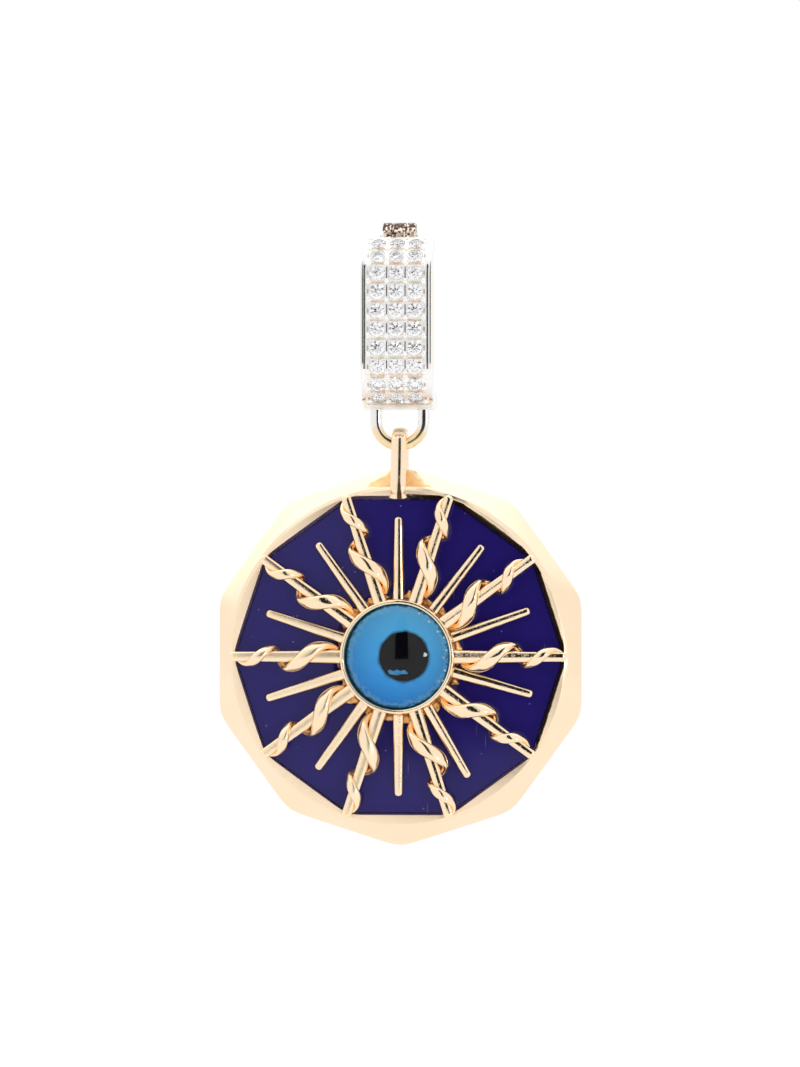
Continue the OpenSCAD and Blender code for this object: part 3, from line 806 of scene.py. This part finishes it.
# Inlay
def inlay_mesh():
    """Plate whose face is domed a little, as enamel is that was filled up to the cup."""
    hole_r = cup_r + SEAT_GAP
    edge_r = wall_foot_r - 0.01
    seat = BACK_T + SEAT_GAP
    rows = [(hole_r, seat), (hole_r, inlay_top)]
    rows += [
        (r, inlay_top + 0.04 - ENAMEL_SAG * (r / wall_foot_r) ** 2, 0, "round" if r < 6 else "inner")
        for r in np.linspace(cup_r + 0.3, wall_foot_r - 0.05, 16)
    ]
    rows += [(edge_r, inlay_top - ENAMEL_SAG - 0.01, 0, "inner"), (edge_r, seat, 0, "inner"), rows[0]]
    return turned(rows, ENAMEL, sharpness=600.0)


piece("inlay", [inlay_mesh()], PLACE_CASE, "medallion", "blue_enamel", "inlay")

# Sunburst
# One row for each side of the case, counter-clockwise from the top: how far the plain ray leans from its even
# place, in degrees, and how far along its bar the wire of the next wrapped ray is slid
RAYS = [
    (0.0, 0.015),
    (-0.3, -0.010),
    (-0.2, -0.015),
    (-0.3, 0.000),
    (0.0, 0.000),
    (0.0, 0.035),
    (-5.7, -0.030),
    (2.3, 0.015),
    (1.4, -0.035),
    (-1.3, 0.025),
]
# One row for each stage of the wire: share of the bar's length from the cup, turn round the bar in degrees
# from its front, share of the widest reach, share of the widest width
WRAP = [
    (0.07, -128, 0.72, 0.55),
    (0.19, -78, 0.95, 1.02),
    (0.35, 0, 1.00, 1.10),
    (0.49, 76, 1.00, 0.98),
    (0.59, 165, 0.85, 0.70),
    (0.67, 270, 0.74, 0.68),
    (0.78, 360, 0.66, 0.78),
    (0.87, 434, 0.64, 0.72),
    (0.96, 500, 0.44, 0.50),
]
bar_in = cup_r - CUP_WALL / 2
bar_out = rim_r + BAR_OVER - BAR_TIP_W / 2
bar_z = inlay_top + BAR_LIFT
bar_tip_z = rim_z + SEAT_GAP + BAR_TIP_W / 2


def bar_path(start, end, wide, narrow):
    """A straight bar that narrows towards its round tip."""
    length = Vector(end) - Vector(start)
    points = [Vector(start) + length * t for t in np.linspace(0, 1, 12)]
    widths = [mix(wide, narrow, t) for t in np.linspace(0, 1, 12)]
    for a in np.linspace(0, math.pi / 2, 9)[1:]:
        points.append(Vector(end) + length.normalized() * math.sin(a) * narrow / 2)
        widths.append(max(narrow * math.cos(a), 0.01 * narrow))
    return points, widths, [Vector((0, 1, 0))] * len(points)


def bar_at(share):
    """A place on the middle line of a wrapped ray's bar."""
    return Vector((mix(bar_in, bar_out, share), 0, mix(bar_z, bar_tip_z, share)))


def wire_path(slide):
    """The flat wire that winds round a bar, from its back at the cup on to the rim, slid along the bar."""
    points, widths, outward = [], [], []
    for share, degrees, reach, width in smooth_path(WRAP, 140):
        across, ahead = math.sin(math.radians(degrees)), math.cos(math.radians(degrees))
        lift = mix(BAR_W, BAR_TIP_W, share) / 2 + WRAP_T / 2 - WRAP_SINK
        points.append(bar_at(share + slide) + Vector((0, WRAP_REACH * reach * across, lift * ahead)))
        widths.append(width)
        outward.append(Vector((0, across, ahead)))
    along = [after - before for before, after in zip(points[:1] + points, points[1:] + points[-1:])]
    sides = [way.normalized().cross(out).normalized() for way, out in zip(along, outward)]
    return points, widths, sides


def spun(path, degrees):
    """A path turned round the middle of the eye."""
    points, widths, sides = path
    spin = Matrix.Rotation(math.radians(degrees), 3, "Z")
    return [spin @ point for point in points], widths, [tuple(spin @ side) for side in sides]


def lumpy(mesh):
    """The collar's solder is run in by hand: its edge wanders in and out, and its top is uneven."""
    for vertex in mesh.vertices:
        x, y, z = vertex.co
        out = math.hypot(x, y)
        if out > cup_r + 0.02:
            swing = noise.noise(Vector((x, y, 0)) * 1.1) + 0.5 * noise.noise(Vector((x, y, 3)) * 2.6)
            share = (out - cup_r) / COLLAR_W
            grow = 1 + 0.55 * share * swing / out
            vertex.co = (x * grow, y * grow, z + max(0.0, 0.3 * share * swing))
    return mesh


def cup_mesh():
    """Cup with a lip that turns in over the glass."""
    inside_r = cup_r - CUP_WALL
    floor_z = BACK_T + SEAT_GAP + CUP_FLOOR_T
    return turned([
        (0, BACK_T + SEAT_GAP),
        (cup_r, BACK_T + SEAT_GAP),
        (cup_r, cup_top, 0.13),
        (cup_r - LIP_W, cup_top, 0.1),
        (cup_r - LIP_W, cup_top - LIP_T, 0.03),
        (inside_r, cup_top - LIP_T - 0.04),
        (inside_r, floor_z),
        (0, floor_z),
    ], RAY_GOLD, steps=240)


def collar_mesh():
    """Fillet of solder between the cup, the rays' feet and the enamel."""
    low = inlay_top + SEAT_GAP
    rows = [
        (cup_r - 0.1, low - 0.05),
        (cup_r + COLLAR_W, low - 0.05),
        (cup_r + 0.34, low + 0.05, 0.1),
        (cup_r + 0.15, low + 0.14, 0.3),
        (cup_r + 0.03, low + COLLAR_H),
        (cup_r - 0.1, low + COLLAR_H),
    ]
    return lumpy(turned(rows + rows[:1], SHADED_SOLDER, steps=240))


def sunburst_meshes():
    """The rays and bars, the wires round the bars, the cup, and the solder round its foot."""
    ray_z = inlay_top + SEAT_GAP
    ray = bar_path((bar_in, 0, ray_z + RAY_LIFT * RAY_W),
                   (cup_r + RAY_L - RAY_TIP_W / 2, 0, ray_z + RAY_LIFT * RAY_TIP_W), RAY_W, RAY_TIP_W)
    bar = bar_path(bar_at(0), bar_at(1), BAR_W, BAR_TIP_W)
    bars, wires = [], []
    for i, (lean, slide) in enumerate(RAYS):
        even = 90 + 360 / SIDES * i
        bars += [spun(ray, even + lean), spun(bar, even + 180 / SIDES)]
        wires.append(spun(wire_path(slide), even + 180 / SIDES))
    return [
        swept(bars, RAY_GOLD, width=BAR_WIDER, thickness=BAR_FLATTER, roundness=0.65),
        swept(wires, RAY_GOLD, width=WRAP_FULLER * WRAP_W, thickness=WRAP_FULLER * WRAP_T, roundness=0.85,
              section_steps=24),
        cup_mesh(),
        collar_mesh(),
    ]


piece("sunburst", sunburst_meshes(), PLACE_CASE, "medallion", "yellow_gold", "sunburst")


# Eye
def dome_mesh():
    """Cabochon with a straight side, whose top is part of a ball."""
    edge_z = glass_top - DOME_H
    dome_r = (eye_r ** 2 + DOME_H ** 2) / (2 * DOME_H)
    foot_z = glass_foot - 0.3
    rows = [(0, foot_z), (eye_r, foot_z, 0.06), (eye_r, edge_z, 0.06)]
    rows += [
        (dome_r * math.sin(a), glass_top - dome_r + dome_r * math.cos(a))
        for a in np.linspace(math.asin(eye_r / dome_r), 0, 28)[1:]
    ]
    return turned(rows, GLASS, steps=160)


def disc_mesh(radius, low, high, glass, steps):
    """A round plate whose upper edge is softened."""
    return turned([(0, low), (radius, low), (radius, high, 0.05), (0, high)], glass, steps=steps)


def backing_mesh():
    """White glass round the side of the dome, under the lip of the cup. It sends light back into the blue."""
    inner_r, outer_r = eye_r - 0.12, eye_r - 0.04
    low, high = glass_foot - 0.02, glass_top - DOME_H - 0.2
    return turned([(inner_r, low), (outer_r, low), (outer_r, high), (inner_r, high), (inner_r, low)],
                  BACKING, steps=160)


def pupil_mesh():
    """The black plate, which sits a little to one side of the middle of the blue."""
    mesh = disc_mesh(0.9 * pupil_r, pupil_top - 0.1, pupil_top + 0.01, PUPIL, 120)
    mesh.transform(Matrix.Translation((pupil_x, 0, 0)))
    return mesh


def run_mesh():
    """The blue glass that has run over the lower left of the pupil: places from its middle, and widths."""
    rows = [
        (-0.95, -0.86, 0.2), (-0.84, -0.9, 0.75), (-0.62, -0.96, 0.6), (-0.42, -0.93, 0.95),
        (-0.2, -0.95, 0.55), (0.0, -0.9, 0.7), (0.14, -0.97, 0.4), (0.22, -0.95, 0.1),
    ]
    path = smooth_path(rows, 30)
    points = [(pupil_x + x, y, pupil_top + 0.01) for x, y, _ in path]
    return swept([(points, path[:, 2], [(0, 1, 0)] * len(points))], BLUE_RUN,
                 width=0.36, thickness=0.06, roundness=0.9)


iris_mesh = disc_mesh(eye_r - 0.05, glass_foot - 0.4, glass_foot - SEAT_GAP, IRIS, 160)
piece("eye_glass", [dome_mesh()], PLACE_CASE, "medallion", "clear_glass", "eye_glass")
piece("eye_iris", [iris_mesh, backing_mesh()], PLACE_CASE, "medallion", "blue_glass", "eye_iris")
piece("eye_pupil", [pupil_mesh(), run_mesh()], PLACE_CASE, "medallion", "black_glass", "eye_pupil")


# Bail
def on_band(s, x, h):
    """A place on the face of the band: s up from the middle of its straight part, x across, h out of the
    face. Also how far the face is tipped up there from lying flat."""
    half = STRAIGHT / 2
    a = 0 if abs(s) <= half else math.copysign((abs(s) - half) / bail_r, s)
    level = mid_z + max(-half, min(half, s))
    return (x, -(bail_r + h) * math.cos(a), level + (bail_r + h) * math.sin(a)), math.pi / 2 - a


def stone_place(name):
    """How far up the band's face a stone of the frame lies, and how far across."""
    low, high = box_mm(name)
    x, y, z = (low + high) / 2
    if z > top_z:
        return STRAIGHT / 2 + bail_r * math.atan2(z - top_z, -y), x
    if z < low_z:
        return -STRAIGHT / 2 - bail_r * math.atan2(low_z - z, -y), x
    return z - mid_z, x


STONE_ROWS, STONE_COLS = 10, 3
STONES = [f"stone_{row:02d}_{col}" for row in range(1, STONE_ROWS + 1) for col in range(1, STONE_COLS + 1)]
STONE_R = 0.52
CROWN_H = 0.17
PAVILION_H = 0.45
GIRDLE_H = 0.03
TABLE = 0.56
GIRDLE_SINK = 0.05
PITCH = 1.24
RAIL_W = 0.2
RAIL_BOW = 0.012
GROOVE_W = 0.09
GROOVE_DEPTH = 0.3
GROOVE_LOW, GROOVE_TOP = -3.15, 3.75
DASH_W, DASH_L = 0.044, 0.84
BOW_W, BOW_H = 0.88, 0.3
BEAD_R = 0.23
stone_places = [stone_place(name) for name in STONES]
field_w = bail_w / 2 - RAIL_W - GROOVE_W
top_row, low_row = stone_places[0][0], stone_places[-1][0]
lip_s = low_row - PITCH / 2
shoulder_x = HINGE_R + 0.25


def band_face(s, x):
    """How far the face of the band stands out at a place, with its rails, grooves, seats and line cuts, how
    much gold shows there, bare in the bow cuts and painted as a reflection where the band bends and at the
    rails' bottom corners, and how much painted shade darkens it."""
    out = bail_w / 2 - abs(x)
    grooved = GROOVE_LOW < s < GROOVE_TOP
    if out < RAIL_W:
        # Painted reflection of the gold below: a dark gold tint at the rails' bottom corners
        corner = max(0.0, 1 - abs(s - low_row + 0.1 - 0.6 * out) / 0.16)
        return -RAIL_BOW * (2 * out / RAIL_W - 1) ** 2, min(1.0, 2 * corner), 0.6 * corner
    if out < RAIL_W + GROOVE_W:
        # Painted shade in the grooves
        return (-GROOVE_DEPTH, 0.0, 0.7) if grooved else (-0.03, 0.0, 0.0)
    # Painted shade in the cut of the lip
    if abs(s - lip_s) < 0.05:
        return -0.2, 0.0, 0.5
    nearest_s, nearest_x = min(stone_places, key=lambda at: math.hypot(s - at[0], x - at[1]))
    away = math.hypot(s - nearest_s, x - nearest_x)
    seat_r = STONE_R - 0.03
    if away < seat_r:
        return -GIRDLE_SINK - GIRDLE_H - 0.03 - PAVILION_H * (1 - away / seat_r), 0.0, 0.0
    along = abs(s - nearest_s)
    # Painted shade in the line cuts
    if abs(abs(x) - PITCH / 2) < DASH_W / 2 and along < DASH_L / 2 and grooved:
        return -0.12, 0.0, 0.75
    between = low_row < s < top_row and abs(x - nearest_x) < BOW_W / 2
    gold_showing = max(0.0, 1 - (abs(along - PITCH / 2) / (BOW_H / 2)) ** 4) if between else 0.0
    # Gold marks beside the stones at mid-height, with a little painted shade
    mark = float(along < 0.15 and 0.42 < out < 0.52)
    # Painted reflection of nearby gold: a gold tint where the band bends round at its top and bottom
    bend_reflection = 0.0 if GROOVE_LOW <= s <= GROOVE_TOP else 0.45
    return -0.02 - 0.06 * gold_showing, min(1.0, 0.8 * gold_showing + mark + bend_reflection), 0.3 * mark


def band_mesh():
    """Band of rings of points, one ring for each place up its face, each round the face, sides and back."""
    top_s = STRAIGHT / 2 + bail_r * math.acos((HINGE_R + PIN_GAP) / bail_r)
    bottom_s = -STRAIGHT / 2 - bail_r * (math.pi / 2 + SPLIT_ANGLE)
    shoulder_s = STRAIGHT / 2 + bail_r * math.radians(86)
    bend_s = top_row + PITCH / 2
    half_w = bail_w / 2
    rows = np.linspace(bottom_s, top_s, 420)
    across = np.linspace(-half_w, half_w, 120)
    depths = (0.13, 0.3, 0.6, 0.9, 1.14)

    def at(s, x, h):
        """The band's top end runs on beside the hinge knuckles."""
        if s > bend_s and abs(x) >= shoulder_x:
            s = bend_s + (s - bend_s) * (shoulder_s - bend_s) / (top_s - bend_s)
        return on_band(s, x, h)[0]

    verts, gold_shown, painted_shades = [], [], []
    for s in rows:
        face = [band_face(s, x) for x in across]
        ring = [at(s, x, h) for x, (h, _, _) in zip(across, face)]
        ring += [at(s, half_w, -h) for h in depths]
        ring += [at(s, x, -BAND_T) for x in np.linspace(half_w - 0.06, 0.06 - half_w, 24)]
        ring += [at(s, -half_w, -h) for h in depths[::-1]]
        plain = [0.0] * (len(ring) - len(face))
        verts += ring
        gold_shown += [gold_showing for _, gold_showing, _ in face] + plain
        painted_shades += [painted_shade for _, _, painted_shade in face] + plain
    n = len(ring)
    faces = [
        (i * n + j, i * n + (j + 1) % n, (i + 1) * n + (j + 1) % n, (i + 1) * n + j)
        for i in range(len(rows) - 1) for j in range(n)
    ]
    faces.append(tuple(range(n))[::-1])
    faces.append(tuple((len(rows) - 1) * n + j for j in range(n)))
    mesh = bpy.data.meshes.new("band")
    mesh.from_pydata(verts, [], faces)
    # Gold that shows, bare or as painted reflection, and the painted shade
    for name, values in (("gold_showing", gold_shown), ("painted_shade", painted_shades)):
        mesh.attributes.new(name, "FLOAT", "POINT").data.foreach_set("value", values)
    mesh.materials.append(RHODIUM)
    mesh.materials.append(BRIGHT_CUT)
    half_step = half_w / (len(across) - 1)
    field = [j for j, x in enumerate(across[:-1]) if abs(x + half_step) < field_w]
    for i, s in enumerate(rows[:-1]):
        for j in field if s > GROOVE_LOW else range(len(across) - 1):
            mesh.polygons[i * n + j].material_index = 1
    mesh.shade_smooth()
    return mesh


def barrel_mesh(x, width):
    """One hinge barrel, turned about the hinge's axis."""
    low, high = x - width / 2, x + width / 2
    mesh = turned([(0, low), (HINGE_R, low, 0.08), (HINGE_R, high, 0.08), (0, high)], KNUCKLE, steps=96)
    mesh.transform(Matrix.Translation((0, 0, hinge_z)) @ Matrix.Rotation(math.pi / 2, 4, "Y"))
    return mesh


def loop_mesh():
    """U-shaped wire soldered under the band. Its front is flattened and tips towards the loop's middle."""
    r = LOOP_W / 2
    turn_z = swing_z + r
    bend = np.linspace(math.pi, 2 * math.pi, 61)
    angles = [math.pi, math.pi, *bend, 0, 0]
    heights = [bottom_z + BAND_T / 2, turn_z + 0.02]
    heights += [turn_z + r * math.sin(a) for a in bend] + heights[::-1]
    points = [(r * math.cos(a), 0, z) for a, z in zip(angles, heights)]
    sides = [(-LOOP_TIP * math.cos(a), 1, -LOOP_TIP * math.sin(a)) for a in angles]
    return swept([(points, [1.0] * len(points), sides)], RHODIUM,
                 width=LOOP_WIRE, thickness=LOOP_WIRE, roundness=0.62, section_steps=48)


def strap_mesh(x, width, front):
    """A strip of the gate that follows the back of the oval, from the hinge to the split."""
    r = bail_r - GATE_T / 2
    upper = np.linspace(math.asin(front / r), math.pi / 2, 40)
    lower = np.linspace(0, math.pi / 2 - SPLIT_ANGLE - SPLIT_GAP, 40)
    rows = [(r * math.sin(a), top_z + r * math.cos(a)) for a in upper]
    rows += [(r, z) for z in np.linspace(top_z, low_z, 12)[1:-1]]
    rows += [(r * math.cos(a), low_z - r * math.sin(a)) for a in lower]
    points = [(x, y, z) for y, z in rows]
    return swept([(points, [1.0] * len(points), [(1, 0, 0)] * len(points))], CASE_GOLD,
                 width=width, thickness=GATE_T, roundness=0.3)


def brilliant():
    """Round brilliant of 57 facets, its girdle at height 0."""
    def ring(r, z, count, start=0.0):
        angles = (2 * math.pi * (i + start) / count for i in range(count))
        return [(r * math.cos(a), r * math.sin(a), z) for a in angles]

    half_step = math.cos(math.pi / 8)
    table_r, star_r, lower_r = TABLE * STONE_R, 0.8 * STONE_R, 0.25 * STONE_R
    star_z = CROWN_H * (STONE_R - star_r * half_step) / (STONE_R - table_r)
    lower_z = -GIRDLE_H - PAVILION_H * (1 - lower_r * half_step / STONE_R)
    points = ring(table_r, CROWN_H, 8) + ring(star_r, star_z, 8, 0.5) + ring(STONE_R, 0, 16)
    points += ring(STONE_R, -GIRDLE_H, 16) + ring(lower_r, lower_z, 8, 0.5) + [(0, 0, -GIRDLE_H - PAVILION_H)]
    form = bmesh.new()
    for point in points:
        form.verts.new(point)
    bmesh.ops.convex_hull(form, input=form.verts)
    bmesh.ops.dissolve_limit(form, angle_limit=math.radians(0.5), verts=form.verts, edges=form.edges)
    return form


def stones_mesh():
    """The stones, each turned at random in its seat and tipped a little."""
    places = [on_band(s, x, -GIRDLE_SINK) for s, x in stone_places]
    mesh = set_down(places, brilliant(), ZIRCONIA, turn=2 * math.pi, tip=0.04, seed=4)
    mesh.shade_flat()
    return mesh


def beads_mesh():
    """Beads raised from the metal at the corners between the stones."""
    pitch = stone_places[0][0] - stone_places[3][0]
    places = [
        on_band(top_row + (0.5 - row) * pitch, col * PITCH, -0.1)
        for row in range(STONE_ROWS + 1) for col in (-1.47, -0.5, 0.5, 1.47)
    ]
    form = bmesh.new()
    bmesh.ops.create_icosphere(form, subdivisions=2, radius=BEAD_R)
    return set_down(places, form, BRIGHT_CUT, turn=6.0, tip=0.3, seed=7)


piece("bail_front", [band_mesh(), loop_mesh(), beads_mesh(), barrel_mesh(0, MID_BARREL_W)], PLACE_BAIL,
      "bail", "white_gold", "bail_front")
piece("pave_stones", [stones_mesh()], PLACE_BAIL, "bail", "white_stone", *STONES, smooth=0)
gate_meshes = [strap_mesh(0, gate_high.x - gate_low.x, HINGE_R + PIN_GAP)]
end_x = (MID_BARREL_W + END_BARREL_W) / 2 + PIN_GAP
for x in (-end_x, end_x):
    gate_meshes += [strap_mesh(x, END_BARREL_W, 0.0), barrel_mesh(x, END_BARREL_W)]
piece("gate", gate_meshes, PLACE_BAIL, "gate", "yellow_gold", "gate")
pin = frame["nodes"]["hinge_pin"].data
pin.materials.clear()
pin.materials.append(CASE_GOLD)


# Floor
def floor():
    """Paper so bright that it runs into the backdrop."""
    mesh = bpy.data.meshes.new("floor")
    form = bmesh.new()
    bmesh.ops.create_grid(form, x_segments=8, y_segments=8, size=0.6)
    form.to_mesh(mesh)
    form.free()
    mesh.transform(Matrix.Translation((0, 0, -0.07)))
    mesh.materials.append(PAPER)
    ground = bpy.data.objects.new("floor", mesh)
    bpy.context.scene.collection.objects.link(ground)


floor()


# Light
def slit_mask(tree, way):
    """Where the front of the tent is open: bounds of azimuth to the right and of height, in degrees."""
    axes = add(tree, "SeparateXYZ", [way]).outputs
    front = add(tree, "Math", [axes["Y"], -1.0], operation="MULTIPLY")
    azimuth = add(tree, "Math", [axes["X"], front], operation="ARCTAN2")
    height = add(tree, "Math", [axes["Z"]], operation="ARCSINE")
    bounds = (azimuth, -5.8, -5.3), (azimuth, 12.5, 11.5), (height, -6, -2.5), (height, 55, 38)
    return front, where_all(tree, *((angle, math.radians(a), math.radians(b)) for angle, a, b in bounds))


def studio():
    """A white tent, dimmer towards its front and brighter overhead, with a dark slit where the camera looks
    in, and one small lamp to its right. The camera itself sees plain white."""
    world = bpy.data.worlds.new("light_tent")
    bpy.context.scene.world = world
    world.use_nodes = True
    tree = world.node_tree
    tree.nodes.clear()
    way = add(tree, "TexCoord").outputs["Generated"]
    front, slit = slit_mask(tree, way)
    tent = add(tree, "MapRange", [front, math.cos(math.radians(25)), math.cos(math.radians(5)), 1.0, 0.95],
               interpolation_type="SMOOTHSTEP")
    upper_left = add(tree, "VectorMath", [way, (-0.15, 0.35, 0.92)], operation="DOT_PRODUCT")
    extra = add(tree, "MapRange", [upper_left, 0.4, 0.9, 0.0, 0.5])
    tent = add(tree, "Math", [tent, extra], operation="ADD")
    open_side = add(tree, "Mix", [slit, tent, 0.02], data_type="FLOAT")
    side, up = math.radians(35), math.radians(2)
    lamp_way = (math.sin(side) * math.cos(up), -math.cos(side) * math.cos(up), math.sin(up))
    near = add(tree, "VectorMath", [way, lamp_way], operation="DOT_PRODUCT")
    lamp = add(tree, "MapRange", [near, math.cos(math.radians(3)), math.cos(math.radians(2)), 0.0, 25.0])
    light = add(tree, "Math", [open_side, lamp], operation="ADD")
    seen = add(tree, "LightPath").outputs["Is Camera Ray"]
    shown = add(tree, "Mix", [seen, light, 1.0], data_type="FLOAT")
    background = add(tree, "Background", {"Color": (1, 1, 1, 1), "Strength": shown})
    add(tree, "OutputWorld", {"Surface": background})


studio()


def camera():
    """The photo's view: a long lens, level, a little to the right of the front."""
    data = bpy.data.cameras.new("camera")
    distance = 0.4
    view_h = 0.0711
    data.sensor_width = 36.0
    data.lens = data.sensor_width * distance / view_h
    data.clip_start = 0.01
    data.clip_end = 10.0
    side = math.radians(5)
    way = Vector((math.sin(side), -math.cos(side), 0))
    made = bpy.data.objects.new("camera", data)
    made.location = Vector((0, 0, -0.0187)) + distance * way
    made.rotation_euler = way.to_track_quat("Z", "Y").to_euler()
    bpy.context.scene.collection.objects.link(made)
    bpy.context.scene.camera = made


camera()
bpy.context.scene.view_settings.view_transform = "Standard"
# Light is followed as far as it goes on bouncing in the stones and between the bars
bpy.context.scene.cycles.max_bounces = 24
bpy.context.scene.cycles.glossy_bounces = 16
bpy.context.scene.cycles.transmission_bounces = 16
